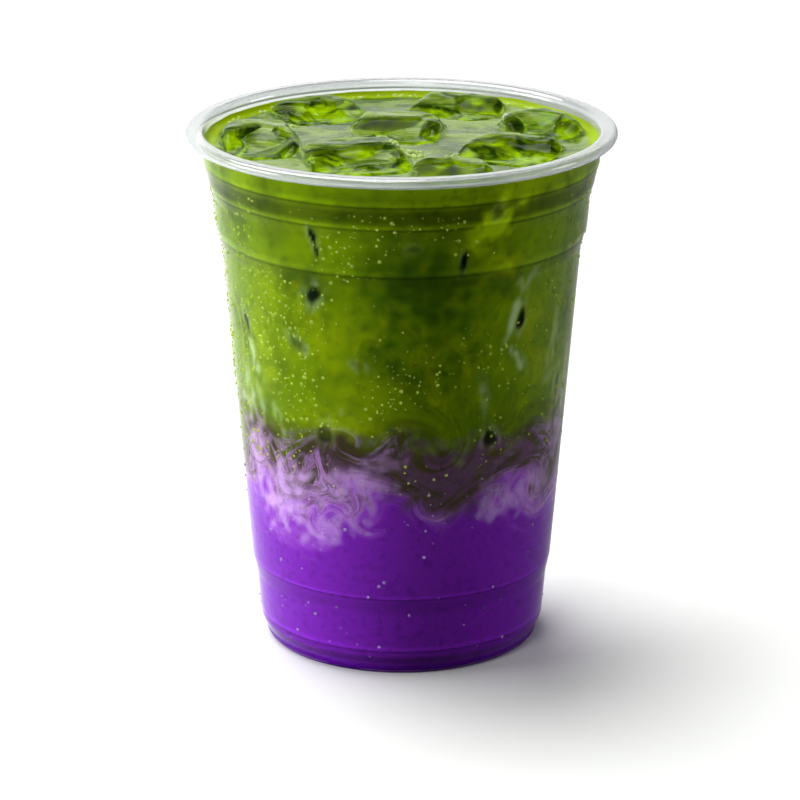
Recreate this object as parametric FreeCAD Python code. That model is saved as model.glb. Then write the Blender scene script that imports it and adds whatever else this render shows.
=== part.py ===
"""An iced ube and matcha latte in a clear disposable cup, in millimetres.

The cup is one sheet of clear plastic: a recessed base, a foot, a stepped wall that opens
towards the mouth, and a rim curled outwards. A violet layer of ube milk fills the bottom,
a green layer of matcha milk lies on it up to just under the rim, and blocks of ice float in
the green layer with their tops above its surface. The cup stands on z = 0, on the Z axis.
"""

import FreeCAD
import Part

import math
import os

from FreeCAD import Base

# Overall sizes of the cup
cup_height = 121.2
rim_radius = 49.0
foot_radius = 31.75
wall = 0.45

# Rim: the wall turns outwards at the top and curls down to a bead
bead_width = 4.25
bead_height = 2.4
bead_tip_inset = 2.1
bead_inner_round = 1.15
bead_outer_round = 0.75
neck_round = 0.7

# Steps under the rim. Each shoulder is (below the rim's top, inside the rim's radius), and the
# groove under it is where the wall starts to run down to the next shoulder.
neck_shoulder = (7.3, 3.95)
neck_groove = (9.6, 4.65)
middle_shoulder = (11.8, 5.05)
middle_groove = (15.1, 6.07)
grip_shoulder = (21.9, 6.55)
grip_groove = (27.0, 7.97)

# Steps above the table. Each is (height, outside the foot's radius).
stack_shoulder = (19.6, 3.15)
stack_groove = (15.2, 2.2)
base_shoulder = (4.8, 1.28)
foot_height = 2.1
step_round = 0.8
base_shoulder_round = 2.6
foot_round = 1.5
foot_neck_round = 0.6

# Underside: a flat ring to stand on, and a panel raised inside it
foot_ring_width = 4.4
panel_height = 2.6
panel_slope_width = 3.0
panel_round = 0.9

# Drink
surface_drop = 3.6
meniscus_rise = 1.0
meniscus_width = 1.6
mix_height = 43.0
mix_swell = 4.6

# Ice
ice_wall_gap = 0.8
ice_round = 4.5
ice_blocks = {
    # x and y of the middle, length, width, height, yaw, pitch, roll, and how far the highest
    # point stands above the drink's surface
    "ice_left": (-32.0, -3.5, 16, 27, 21, 8, -6, 4, 2.5),
    "ice_front_left": (-10.2, -18.8, 22, 25, 22, 13, 5, -5, 3.0),
    "ice_middle": (-1.0, 8.0, 20, 21, 20, -9, -4, -5, 2.3),
    "ice_back_left": (-19.2, 24.6, 19, 18, 19, 32, 4, 5, 1.9),
    "ice_back_right": (13.0, 28.5, 20, 17, 20, -20, -5, 4, 2.0),
    "ice_right": (32.0, 10.5, 16, 19, 19, 17, 6, -4, 2.2),
    "ice_front_right": (24.5, -11.5, 20, 21, 21, -24, 5, 5, 2.8),
    "ice_front": (11.2, -31.5, 17, 14, 18, 14, -6, -4, 2.2),
}

# Spacing of the points that the uneven surface passes through, and the length under which
# a straight stretch between two rounds is left out
surface_pitch = 4.0
shortest_edge = 0.001


def from_rim(step):
    """The (radius, height) of a step that is measured from the rim."""
    below, inside = step
    return (rim_radius - inside, cup_height - below)


def from_foot(step):
    """The (radius, height) of a step that is measured from the foot."""
    height, outside = step
    return (foot_radius + outside, height)


def sheet_path():
    """The outside of the cup's sheet, as corners (radius, height, round), from the middle of
    the underside up the wall and round the inside of the curled rim."""
    bead_inside = rim_radius - bead_width + wall
    bead_outside = rim_radius - wall
    curl_top = cup_height - wall
    curl_bottom = cup_height - bead_height + wall
    ring_inside = foot_radius - foot_ring_width
    return [
        (0, panel_height, 0),
        (ring_inside - panel_slope_width, panel_height, panel_round),
        (ring_inside, 0, panel_round),
        (foot_radius, 0, foot_round),
        (foot_radius, foot_height, foot_neck_round),
        (*from_foot(base_shoulder), base_shoulder_round),
        (*from_foot(stack_groove), step_round),
        (*from_foot(stack_shoulder), step_round),
        (*from_rim(grip_groove), step_round),
        (*from_rim(grip_shoulder), step_round),
        (*from_rim(middle_groove), step_round),
        (*from_rim(middle_shoulder), step_round),
        (*from_rim(neck_groove), step_round),
        (*from_rim(neck_shoulder), neck_round),
        (bead_inside, curl_top, bead_inner_round),
        (bead_outside, curl_top, bead_outer_round),
        (bead_outside, curl_bottom, bead_outer_round),
        (bead_outside - bead_tip_inset, curl_bottom, 0),
    ]


def direction(start, end):
    """The unit vector from one corner to the next."""
    across, up = end[0] - start[0], end[1] - start[1]
    length = math.hypot(across, up)
    return (across / length, up / length)


def offset_path(corners, distance):
    """The same path moved sideways, to the left of its direction. A round turning that way
    gets tighter by the distance, and one turning the other way gets wider."""
    moved = []
    for i, (radius, height, turn) in enumerate(corners):
        before = direction(corners[i - 1], corners[i]) if i else None
        after = direction(corners[i], corners[i + 1]) if i + 1 < len(corners) else None
        before = before or after
        after = after or before
        left_before = (-before[1], before[0])
        left_after = (-after[1], after[0])
        split = 1 + left_before[0] * left_after[0] + left_before[1] * left_after[1]
        shift = [distance * (left_before[k] + left_after[k]) / split for k in (0, 1)]
        turns_left = before[0] * after[1] - before[1] * after[0] > 0
        turn_moved = turn - distance if turns_left else turn + distance
        moved.append((radius + shift[0], height + shift[1], turn_moved if turn else 0))
    return moved


def point(radius, height):
    return Base.Vector(radius, 0, height)


def path_edges(corners):
    """Straight lines through the corners, with a tangent arc at each corner that has a round."""
    edges = []
    at = point(*corners[0][:2])
    for i in range(1, len(corners)):
        corner = point(*corners[i][:2])
        turn = corners[i][2]
        if turn <= 0:
            edges.append(Part.LineSegment(at, corner).toShape())
            at = corner
            continue
        before = (corner - point(*corners[i - 1][:2])).normalize()
        after = (point(*corners[i + 1][:2]) - corner).normalize()
        half_angle = before.getAngle(after) / 2
        cut = turn * math.tan(half_angle)
        middle = corner + (after - before).normalize() * (turn / math.cos(half_angle) - turn)
        arc_start = corner - before * cut
        if at.distanceToPoint(arc_start) > shortest_edge:
            edges.append(Part.LineSegment(at, arc_start).toShape())
        at = corner + after * cut
        edges.append(Part.Arc(arc_start, middle, at).toShape())
    return edges


def revolved(edges):
    """The solid that a closed outline in the XZ plane sweeps round the Z axis."""
    wire = Part.Wire(Part.__sortEdges__(edges))
    return Part.Face(wire).revolve(Base.Vector(0, 0, 0), Base.Vector(0, 0, 1), 360)


def line(start, end):
    return Part.LineSegment(point(*start[:2]), point(*end[:2])).toShape()


def make_cup():
    outside = sheet_path()
    inside = offset_path(outside, wall)
    inside[0] = (0, inside[0][1], 0)
    edges = path_edges(outside) + path_edges(inside)
    edges.append(line(outside[0], inside[0]))
    edges.append(line(outside[-1], inside[-1]))
    return revolved(edges)


def surface_level():
    return cup_height - surface_drop


def room_below(level, gap=0.0):
    """What the cup holds up to a level, as a solid, or that solid drawn in by a gap."""
    corners = offset_path(sheet_path(), wall + gap)
    corners[0] = (0, corners[0][1], 0)
    below = [c for c in corners[:-3] if c[1] < level]
    last = below[-1]
    following = corners[len(below)]
    share = (level - last[1]) / (following[1] - last[1])
    edge_radius = last[0] + share * (following[0] - last[0])
    below.append((edge_radius, level, 0))
    edges = path_edges(below)
    edges.append(line(below[-1], (0, level)))
    edges.append(line((0, level), below[0]))
    return revolved(edges), edge_radius


def make_contents():
    """All of the drink: what the cup holds up to the surface, with the surface drawn up the
    wall in a hollow curve."""
    top = surface_level() + meniscus_rise
    room, edge = room_below(top)
    level = surface_level()
    inner = edge - meniscus_width
    middle_angle = math.pi / 4
    curve = Part.Arc(
        point(inner, level),
        point(
            inner + meniscus_width * math.sin(middle_angle),
            level + meniscus_rise * (1 - math.cos(middle_angle)),
        ),
        point(edge, top),
    ).toShape()
    above = top + meniscus_rise
    hollow = revolved(
        [
            curve,
            line((edge, top), (edge, above)),
            line((edge, above), (0, above)),
            line((0, above), (0, level)),
            line((0, level), (inner, level)),
        ]
    )
    return room.cut(hollow)


def under(height_at, depth):
    """The space under an uneven surface, down to a depth, over the whole cup."""
    steps = math.ceil(rim_radius / surface_pitch) + 1
    span = [surface_pitch * i for i in range(-steps, steps + 1)]
    grid = [[Base.Vector(x, y, height_at(x, y)) for y in span] for x in span]
    surface = Part.BSplineSurface()
    surface.interpolate(grid)
    return surface.toShape().extrude(Base.Vector(0, 0, -depth))


def mix_at(x, y):
    """Height of the uneven line where the violet milk meets the green. Its tongues are about
    a cup's radius apart and lean round the axis."""
    lean = math.atan2(y, x)
    out = math.hypot(x, y) / foot_radius
    tongues = math.sin(0.165 * x + 0.09 * y + 0.6) * math.cos(0.12 * y - 0.05 * x - 0.4)
    ripple = 0.45 * math.sin(0.27 * x - 0.21 * y + 1.9)
    whirl = 0.4 * out * out / (1 + out * out) * math.sin(3 * lean + 0.11 * x - 0.8)
    return mix_height + mix_swell * (tongues + ripple + whirl)


def block(size, turns):
    """A block of ice about its own middle: a box with rounded edges, turned."""
    length, width, height = size
    box = Part.makeBox(length, width, height, Base.Vector(-length / 2, -width / 2, -height / 2))
    rounded = box.makeFillet(ice_round, box.Edges)
    rounded.Placement = FreeCAD.Placement(Base.Vector(0, 0, 0), FreeCAD.Rotation(*turns))
    return rounded


def make_ice():
    """The floating blocks. Each keeps clear of the wall, and gives way to those before it."""
    room, _ = room_below(cup_height, ice_wall_gap)
    placed = {}
    for name, row in ice_blocks.items():
        x, y, length, width, height, yaw, pitch, roll, rise = row
        shape = block((length, width, height), (yaw, pitch, roll))
        top = surface_level() + rise
        shape.translate(Base.Vector(x, y, top - shape.optimalBoundingBox(False).ZMax))
        shape = shape.common(room)
        for other in placed.values():
            if shape.BoundBox.intersect(other.BoundBox):
                shape = shape.cut(other)
        placed[name] = shape
    return placed


def make_drink(ice):
    """The two layers of the drink, cut round the ice."""
    contents = make_contents()
    violet_part = under(mix_at, 2 * cup_height)
    ube = contents.common(violet_part)
    matcha = contents.cut(violet_part)
    for shape in ice.values():
        matcha = matcha.cut(shape)
    return ube, matcha


def main():
    os.makedirs("parts", exist_ok=True)
    ice = make_ice()
    ube, matcha = make_drink(ice)
    nodes = {"cup": make_cup(), "ube_milk": ube, "matcha_milk": matcha, **ice}
    for name, shape in nodes.items():
        shape.exportStep(f"parts/{name}.step")
        box = shape.optimalBoundingBox(False)
        print(
            f"{name}: {len(shape.Solids)} solid, valid {shape.isValid()}, "
            f"{shape.Volume / 1000:.2f} cm3, z {box.ZMin:.2f} to {box.ZMax:.2f}, "
            f"{box.XLength:.1f} x {box.YLength:.1f}"
        )


main()
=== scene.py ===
import math
import random

import bmesh
import bpy
import numpy as np
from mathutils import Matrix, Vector, noise
from mathutils.bvhtree import BVHTree


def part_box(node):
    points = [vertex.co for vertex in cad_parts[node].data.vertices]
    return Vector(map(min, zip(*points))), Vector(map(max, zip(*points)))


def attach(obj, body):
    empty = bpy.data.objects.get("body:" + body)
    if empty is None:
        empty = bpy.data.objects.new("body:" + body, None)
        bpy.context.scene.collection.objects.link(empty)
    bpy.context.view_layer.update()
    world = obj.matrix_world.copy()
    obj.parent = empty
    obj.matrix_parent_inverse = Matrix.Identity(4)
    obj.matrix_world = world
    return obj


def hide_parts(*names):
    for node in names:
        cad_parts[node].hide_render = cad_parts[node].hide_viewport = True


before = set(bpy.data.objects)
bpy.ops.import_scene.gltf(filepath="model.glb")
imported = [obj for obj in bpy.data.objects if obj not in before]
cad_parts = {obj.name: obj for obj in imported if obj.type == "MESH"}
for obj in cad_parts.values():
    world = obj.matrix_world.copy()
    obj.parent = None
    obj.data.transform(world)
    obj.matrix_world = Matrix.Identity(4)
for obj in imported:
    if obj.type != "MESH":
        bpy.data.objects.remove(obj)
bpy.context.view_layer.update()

mm = 0.001
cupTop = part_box("cup")[1][2]
wallRise = 1.0 * mm  # how far the drink stands up at the wall
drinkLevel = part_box("matcha_milk")[1][2] - wallRise
overhead = 0.2  # a height above the whole part, for rays cast down on it

viewpoint = {
    "eye": (0, -0.8185, 0.3241),
    "aim": (-0.00035, 0, 0.0557),
    "lens": 167.0,
    "sensor": 36,
    "farClip": 20,
}


def newObject(name, data):
    obj = bpy.data.objects.new(name, data)
    bpy.context.collection.objects.link(obj)
    return obj


def aimed(name, data, place, aim):
    obj = newObject(name, data)
    obj.location = place
    obj.rotation_euler = (Vector(aim) - Vector(place)).to_track_quat("-Z", "Y").to_euler()
    return obj


def makeCamera():
    cam = bpy.data.cameras.new("Camera")
    cam.lens = viewpoint["lens"]
    cam.sensor_width = viewpoint["sensor"]
    cam.clip_end = viewpoint["farClip"]
    bpy.context.scene.camera = aimed("Camera", cam, viewpoint["eye"], viewpoint["aim"])


makeCamera()
print("camera set")


def addNode(tree, kind, inputs=None, **settings):
    node = tree.nodes.new(kind)
    for name, value in settings.items():
        setattr(node, name, value)
    for name, value in (inputs or {}).items():
        if isinstance(value, bpy.types.NodeSocket):
            tree.links.new(value, node.inputs[name])
        else:
            node.inputs[name].default_value = value
    return node


def maths(tree, operation, a, b=0.0):
    return addNode(tree, "ShaderNodeMath", {0: a, 1: b}, operation=operation).outputs[0]


def lacking(tree, share):
    # what a share lacks to 1
    return maths(tree, "SUBTRACT", 1.0, share)


def vectorMaths(tree, operation, a, b=(0, 0, 0)):
    node = addNode(tree, "ShaderNodeVectorMath", {0: a, 1: b}, operation=operation)
    return node.outputs["Value"] if operation in ("DOT_PRODUCT", "LENGTH", "DISTANCE") else node.outputs[0]


def axisOf(tree, vector, axis):
    return addNode(tree, "ShaderNodeSeparateXYZ", {0: vector}).outputs[axis]


def placeOf(tree):
    return addNode(tree, "ShaderNodeTexCoord").outputs["Object"]


def bumpOf(tree, height, strength, distance):
    inputs = {"Height": height, "Strength": strength, "Distance": distance}
    return addNode(tree, "ShaderNodeBump", inputs).outputs[0]


def noiseOf(tree, vector, scale, detail=2.0, rough=0.5, warp=0.0):
    return addNode(
        tree,
        "ShaderNodeTexNoise",
        {"Vector": vector, "Scale": scale, "Detail": detail, "Roughness": rough, "Distortion": warp},
    )


def remap(tree, value, low, high, toLow=0.0, toHigh=1.0, smooth=True):
    node = addNode(
        tree,
        "ShaderNodeMapRange",
        {"Value": value, "From Min": low, "From Max": high, "To Min": toLow, "To Max": toHigh},
        interpolation_type="SMOOTHSTEP" if smooth else "LINEAR",
    )
    return node.outputs["Result"]


def band(tree, value, rise, fall, share=1.0):
    # share between the rise and the fall, nothing outside them
    falling = remap(tree, value, fall[1], fall[0], 0, share)
    return maths(tree, "MULTIPLY", remap(tree, value, *rise), falling)


def mixColour(tree, share, a, b, blend="MIX"):
    node = tree.nodes.new("ShaderNodeMix")
    node.data_type = "RGBA"
    node.blend_type = blend
    for index, value in ((0, share), (6, a), (7, b)):
        if isinstance(value, bpy.types.NodeSocket):
            tree.links.new(value, node.inputs[index])
        else:
            node.inputs[index].default_value = value
    return node.outputs[2]


def rgb(red, green, blue):
    # a colour as it is seen, out of 255, in the linear values that shaders take
    def linear(c):
        c /= 255
        return c / 12.92 if c <= 0.04045 else ((c + 0.055) / 1.055) ** 2.4

    return (linear(red), linear(green), linear(blue), 1)


def colourBands(tree, value, bands):
    node = tree.nodes.new("ShaderNodeValToRGB")
    ramp = node.color_ramp
    ramp.interpolation = "EASE"
    while len(ramp.elements) < len(bands):
        ramp.elements.new(0.5)
    for element, (place, colour) in zip(ramp.elements, bands):
        element.position = place
        element.color = colour
    tree.links.new(value, node.inputs[0])
    return node.outputs[0]


def newMaterial(name):
    material = bpy.data.materials.new(name)
    material.use_nodes = True
    tree = material.node_tree
    tree.nodes.clear()
    return material, tree


def newGroup(name, inputs, outputs):
    group = bpy.data.node_groups.new(name, "ShaderNodeTree")
    for label, kind, value in inputs:
        socket = group.interface.new_socket(label, in_out="INPUT", socket_type=kind)
        socket.default_value = value
    for label, kind in outputs:
        group.interface.new_socket(label, in_out="OUTPUT", socket_type=kind)
    return group, group.nodes.new("NodeGroupInput"), group.nodes.new("NodeGroupOutput")


def useGroup(tree, group, inputs=None):
    node = tree.nodes.new("ShaderNodeGroup")
    node.node_tree = group
    for name, value in (inputs or {}).items():
        if isinstance(value, bpy.types.NodeSocket):
            tree.links.new(value, node.inputs[name])
        else:
            node.inputs[name].default_value = value
    return node


ringLightPaint = {
    # mm below the cup's top or above the table, width in mm, share: a painted highlight line over a painted
    # shade line
    "belowTop": [(7.3, 0.9, 1.0), (12.7, 0.9, 0.9), (23.8, 1.2, 0.9)],
    "aboveTable": [(19.4, 0.6, 0.9), (6.1, 0.9, 0.8)],
    "pale": 0.42,
    "dark": 0.5,
    # where each line comes up and goes down again, in its own widths above the bend
    "paleEdges": ((0.0, 0.3), (0.5, 1.8)),
    "darkEdges": ((-0.9, -0.25), (-0.2, 0.15)),
    # from and to, mm above the table, and how much darker the wall is painted where it leans over and faces
    # down: painted shade
    "leaning": [(108.6, 113.9, 0.5), (94.0, 97.6, 0.12), (15.4, 19.2, 0.1), (2.4, 4.8, 0.3)],
    "leaningSoft": 0.35,
}

# the two milks share one colour field
milkLook = {
    # mm above the table, and the milk's colour there before it is stirred
    "layers": [
        (0, (134, 38, 196)),
        (29, (138, 42, 200)),
        (33.5, (158, 70, 214)),
        (37.5, (176, 110, 216)),
        (40.5, (140, 98, 150)),
        (44, (92, 72, 74)),
        (49, (84, 80, 36)),
        (55, (92, 108, 12)),
        (62, (118, 150, 2)),
        (100, (122, 156, 2)),
        (120, (132, 164, 4)),
    ],
    "lilac": (206, 150, 236),
    "paleLilac": (226, 182, 250),
    "murkyOlive": (80, 74, 40),
    "murkyPlum": (112, 80, 112),
    "deepOlive": (60, 52, 34),
    "deepGreen": (52, 84, 4),
    "brightGreen": (160, 184, 0),
    "clouded": (12, 66, 2),
    "glowing": (196, 236, 4),
    "openGreen": (58, 90, 4),
    # a pale film on the open surface, partly a painted sheen
    "glaze": (130, 158, 52),
    # painted shade and painted light on the drink seen under the ice
    "deepOverIce": (36, 60, 2),
    "litOverIce": (138, 164, 6),
    "paleMilk": (186, 212, 146),
    "iceShadow": (6, 20, 4),
    "thinEdge": (160, 188, 0),
    "cover": 0.95,  # how much of the stirred colour the open surface hides
    "glowingShare": 0.8,
    "cloudShift": (0.05, 0.02, 0.11),
    "filmLines": 0.4,
    "cloudLines": 0.05,
}

milkNoise = {
    # stretch along x, y and z, detail, roughness, warp
    "broad": ((70, 70, 120), 3, 0.55, 0.0),
    "threads": ((90, 90, 420), 4, 0.6, 0.0),
    "cloud": ((62, 62, 62), 4, 0.6, 0.3),
    "wisps": ((120, 120, 75), 4, 0.62, 1.6),
    "film": ((55, 90, 1700), 4, 0.6, 0.8),
    "mottle": ((650, 650, 650), 2, 0.5, 0.0),
}

milkRanges = {
    # mm above the table where a mark comes up and where it ends
    "filamentHeights": ((31, 37), (50, 58)),
    "pocketHeights": ((40, 45), (50, 58)),
    # from and to, and the values there where they are not 0 and 1
    "greenHeights": (52, 64),
    "lessLightAbove": (104, 86, 0.35, 1),
    "broadLift": (0.3, 0.7, -4.5, 4.5),
    "threadLift": (0.3, 0.7, -2.4, 2.4),
    "filament": (0.08, 0.0, 0, 0.7),
    "filamentParts": (0.4, 0.55),
    "pocketParts": (0.52, 0.42, 0, 0.75),
    "darkClouds": (0.54, 0.28, 0, 0.85),
    "lightWisps": (0.48, 0.7, 0, 0.6),
    "glowClouds": (0.3, 0.5, 0.5, 1),
    "murkThreads": (0.7, 0.45, 0.9, 1.0),
    "murkWisps": (0.36, 0.62),
    "hazeThreads": (0.2, 0.7, 0.4, 1.0),
    "filmTone": (0.36, 0.64),
    "filmEdge": (0.3, 0.7, -0.22, 0.22),
    "windowEdge": (0.36, 0.5),
    "windowWisps": (0.36, 0.6),
    "mottle": (0.5, 0.7, 0, 0.22),
    "lessWetWhereThin": (0.0, 0.85, 1.0, 0.3),
}


def ringHighlightAndShade(tree, height):
    # the wall's bends: a painted highlight on top, a thin painted shade line below, and painted shade where
    # the wall leans over
    def atBend(level, width, share, edges):
        rise, fall = ([level + width * edge for edge in pair] for pair in edges)
        return band(tree, height, rise, fall, share)

    rings = [(cupTop / mm - below, width, share) for below, width, share in ringLightPaint["belowTop"]]
    pale, dark = 0.0, 0.0
    for ring in rings + ringLightPaint["aboveTable"]:
        pale = maths(tree, "MAXIMUM", pale, atBend(*ring, ringLightPaint["paleEdges"]))
        dark = maths(tree, "MAXIMUM", dark, atBend(*ring, ringLightPaint["darkEdges"]))
    dark = maths(tree, "MULTIPLY", dark, ringLightPaint["dark"])
    for low, high, share in ringLightPaint["leaning"]:
        soft = (high - low) * ringLightPaint["leaningSoft"]
        leaning = band(tree, height, (low, low + soft), (high - soft, high), share)
        dark = maths(tree, "MAXIMUM", dark, leaning)
    return maths(tree, "MULTIPLY", pale, ringLightPaint["pale"]), dark


def makeMilkColour():
    group, given, outside = newGroup(
        "milkColour",
        [("Cloudiness", "NodeSocketFloat", 1.0)],
        [("Colour", "NodeSocketColor"), ("Open", "NodeSocketFloat"), ("Relief", "NodeSocketFloat")],
    )

    def mark(name, output="Fac"):
        return addNode(group, "ShaderNodeAttribute", attribute_name=name).outputs[output]

    def field(name, vector):
        stretch, detail, rough, warp = milkNoise[name]
        stretched = vectorMaths(group, "MULTIPLY", vector, stretch)
        return noiseOf(group, stretched, 1.0, detail, rough, warp).outputs["Fac"]

    def ranged(value, name, smooth=True):
        return remap(group, value, *milkRanges[name], smooth=smooth)

    def times(a, b):
        return maths(group, "MULTIPLY", a, b)

    def between(share, one, other):
        return mixColour(group, share, rgb(*milkLook[one]), rgb(*milkLook[other]))

    def tinted(base, share, name):
        return mixColour(group, share, base, rgb(*milkLook[name]))

    flow = mark("flow", "Vector")
    bare, glow = mark("open"), mark("glow")
    onWall = lacking(group, bare)
    height = times(axisOf(group, flow, "Z"), 1 / mm)
    broad, threads, wisps, film = (field(name, flow) for name in ("broad", "threads", "wisps", "film"))
    cloud = field("cloud", vectorMaths(group, "ADD", flow, milkLook["cloudShift"]))
    raised = maths(group, "ADD", height, ranged(broad, "broadLift", smooth=False))
    raised = maths(group, "ADD", raised, ranged(threads, "threadLift", smooth=False))
    top = milkLook["layers"][-1][0]
    bands = [(level / top, rgb(*shade)) for level, shade in milkLook["layers"]]
    colour = colourBands(group, maths(group, "DIVIDE", raised, top), bands)
    # dark pockets and thin lilac filaments where the milks meet
    pocket = band(group, height, *milkRanges["pocketHeights"])
    colour = tinted(colour, times(pocket, ranged(broad, "pocketParts")), "deepOlive")
    ridge = maths(group, "ABSOLUTE", maths(group, "SUBTRACT", threads, 0.5))
    filament = times(band(group, height, *milkRanges["filamentHeights"]), ranged(ridge, "filament"))
    colour = tinted(colour, times(filament, ranged(broad, "filamentParts")), "lilac")
    # cloudy tones and pale wisps in the green, then painted light in the bright patches and painted shade in
    # the dark patches
    inGreen = times(ranged(raised, "greenHeights"), given.outputs["Cloudiness"])
    colour = tinted(colour, times(inGreen, ranged(cloud, "darkClouds")), "deepGreen")
    light = times(times(inGreen, ranged(wisps, "lightWisps")), ranged(height, "lessLightAbove"))
    # painted light: the bright patches, in bright and glowing green
    light = maths(group, "MAXIMUM", light, times(glow, ranged(cloud, "glowClouds")))
    colour = tinted(colour, light, "brightGreen")
    strong = times(maths(group, "POWER", glow, 3.0), milkLook["glowingShare"])
    colour = tinted(colour, strong, "glowing")
    # painted shade in the dark patches, with darker clouds round the back
    colour = tinted(colour, mark("shady"), "clouded")
    # murk and lilac smoke
    murk = times(mark("murk"), ranged(threads, "murkThreads"))
    colour = mixColour(group, murk, colour, between(ranged(wisps, "murkWisps"), "murkyOlive", "murkyPlum"))
    colour = tinted(colour, times(mark("haze"), ranged(threads, "hazeThreads")), "paleLilac")
    # the open surface: pale strands of film that follow its slopes, partly a painted sheen, and under the
    # ice the drink in painted shade and painted light
    filmAndSheenColour = between(ranged(film, "filmTone"), "openGreen", "glaze")
    colour = mixColour(group, times(bare, milkLook["cover"]), colour, filmAndSheenColour)
    edge = maths(group, "ADD", mark("window"), ranged(film, "filmEdge", smooth=False))
    overIce = ranged(edge, "windowEdge")
    # painted shade and painted light on the drink seen under the ice
    shadedAndLitUnderIce = between(ranged(wisps, "windowWisps"), "deepOverIce", "litOverIce")
    colour = mixColour(group, times(overIce, milkLook["cover"]), colour, shadedAndLitUnderIce)
    place = placeOf(group)
    # fine dark speckles of the drink's own tone, in the dark green also used for painted shade
    colour = tinted(colour, ranged(field("mottle", place), "mottle"), "iceShadow")
    # painted light along the drink's thin edge, pale milk streaks, and painted shade where ice lies against
    # the wall and under the ice's ridges
    for name, shade in (("thin", "thinEdge"), ("milky", "paleMilk"), ("sunk", "iceShadow")):
        colour = tinted(colour, mark(name), shade)
    # the wall's bends: painted highlight and painted shade
    pale, line = ringHighlightAndShade(group, times(axisOf(group, place, "Z"), 1 / mm))
    colour = mixColour(group, times(pale, onWall), colour, colour, "ADD")
    line = times(line, maths(group, "SUBTRACT", onWall, times(glow, onWall)))
    colour = mixColour(group, line, colour, (0.0, 0.0, 0.0, 1))
    wet = times(bare, lacking(group, overIce))
    wet = times(wet, ranged(mark("thin"), "lessWetWhereThin"))
    relief = times(times(film, bare), milkLook["filmLines"])
    relief = maths(group, "ADD", times(cloud, milkLook["cloudLines"]), relief)
    for name, value in (("Colour", colour), ("Open", wet), ("Relief", relief)):
        group.links.new(value, outside.inputs[name])
    return group


milkColour = makeMilkColour()

milkFinish = {
    "grain": 900,
    "grainRange": (0.3, 0.7),
    "grainDepth": 0.01,
    "roughest": 1.2,
    "smoothest": 0.8,
    "bump": (0.7, 0.0011),  # strength and distance
}

clearFinish = {
    "haze": (60, 3),
    "hazeRange": (0.3, 0.7),
    "smoothest": 0.6,
    "roughest": 1.6,
    "bumpDistance": 0.001,
}


def makeMilkMaterial(name, rough, cloudiness):
    material, tree = newMaterial(name)
    field = useGroup(tree, milkColour, {"Cloudiness": cloudiness})
    grain = noiseOf(tree, placeOf(tree), milkFinish["grain"], 2).outputs["Fac"]
    fine = maths(tree, "MULTIPLY", grain, milkFinish["grainDepth"])
    height = maths(tree, "ADD", field.outputs["Relief"], fine)
    bump = bumpOf(tree, height, *milkFinish["bump"])
    spread = (rough * milkFinish["smoothest"], rough * milkFinish["roughest"])
    shader = addNode(
        tree,
        "ShaderNodeBsdfPrincipled",
        {
            "Base Color": field.outputs["Colour"],
            "Roughness": remap(tree, grain, *milkFinish["grainRange"], *spread),
            "IOR": 1.35,
            "Specular IOR Level": 0.0,
            "Coat Weight": field.outputs["Open"],
            "Coat Roughness": 0.07,
            "Coat IOR": 1.27,
            "Normal": bump,
            "Coat Normal": bump,
        },
    )
    addNode(tree, "ShaderNodeOutputMaterial", {"Surface": shader.outputs[0]})
    return material


ubeMilk = makeMilkMaterial("ubeMilk", 0.5, 0.6)
matchaMilk = makeMilkMaterial("matchaMilk", 0.4, 1.0)
print("milk materials made")

clearLooks = {
    "clearPlastic": {
        "tint": (0.985, 0.99, 0.99, 1), "ior": 1.2, "passes": 1.0, "mirror": 0.2,
        "ripple": (90, 0.04), "rough": 0.03, "underLamps": (0.95, 0.96, 0.96, 1),
        # painted light: the foot is tinted purple for the drink's light that shows in it
        "low": (0.48, 0.16, 0.7, 1), "lowUpTo": (1.6 * mm, 3.0 * mm),
    },
    "milkyRim": {
        "tint": (0.84, 0.86, 0.86, 1), "ior": 1.45, "passes": 0.87, "mirror": 1.0,
        "ripple": (120, 0.02), "rough": 0.07, "underLamps": (0.75, 0.77, 0.76, 1),
    },
    "meltingIce": {
        "tint": (0.9, 0.97, 0.5, 1), "ior": 1.12, "passes": 1.0, "mirror": 0.5,
        "ripple": (230, 0.16), "rough": 0.03, "underLamps": (0.55, 0.68, 0.3, 1),
    },
    # painted light: the drops are tinted yellow-green, and lilac low down, for the lit drink that they
    # gather and show
    "waterDrop": {
        "tint": (0.84, 0.98, 0.14, 1), "ior": 1.33, "passes": 0.6, "mirror": 1.0,
        "ripple": (300, 0.05), "rough": 0.03, "underLamps": (0.9, 0.95, 0.88, 1),
        "low": (0.8, 0.66, 0.94, 1), "lowUpTo": (42 * mm, 52 * mm),
    },
    "foamBubble": {
        "tint": (0.74, 0.86, 0.34, 1), "ior": 1.33, "passes": 0.4, "mirror": 1.0,
        "ripple": (300, 0.05), "rough": 0.03, "underLamps": (0.9, 0.95, 0.7, 1),
    },
}


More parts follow.
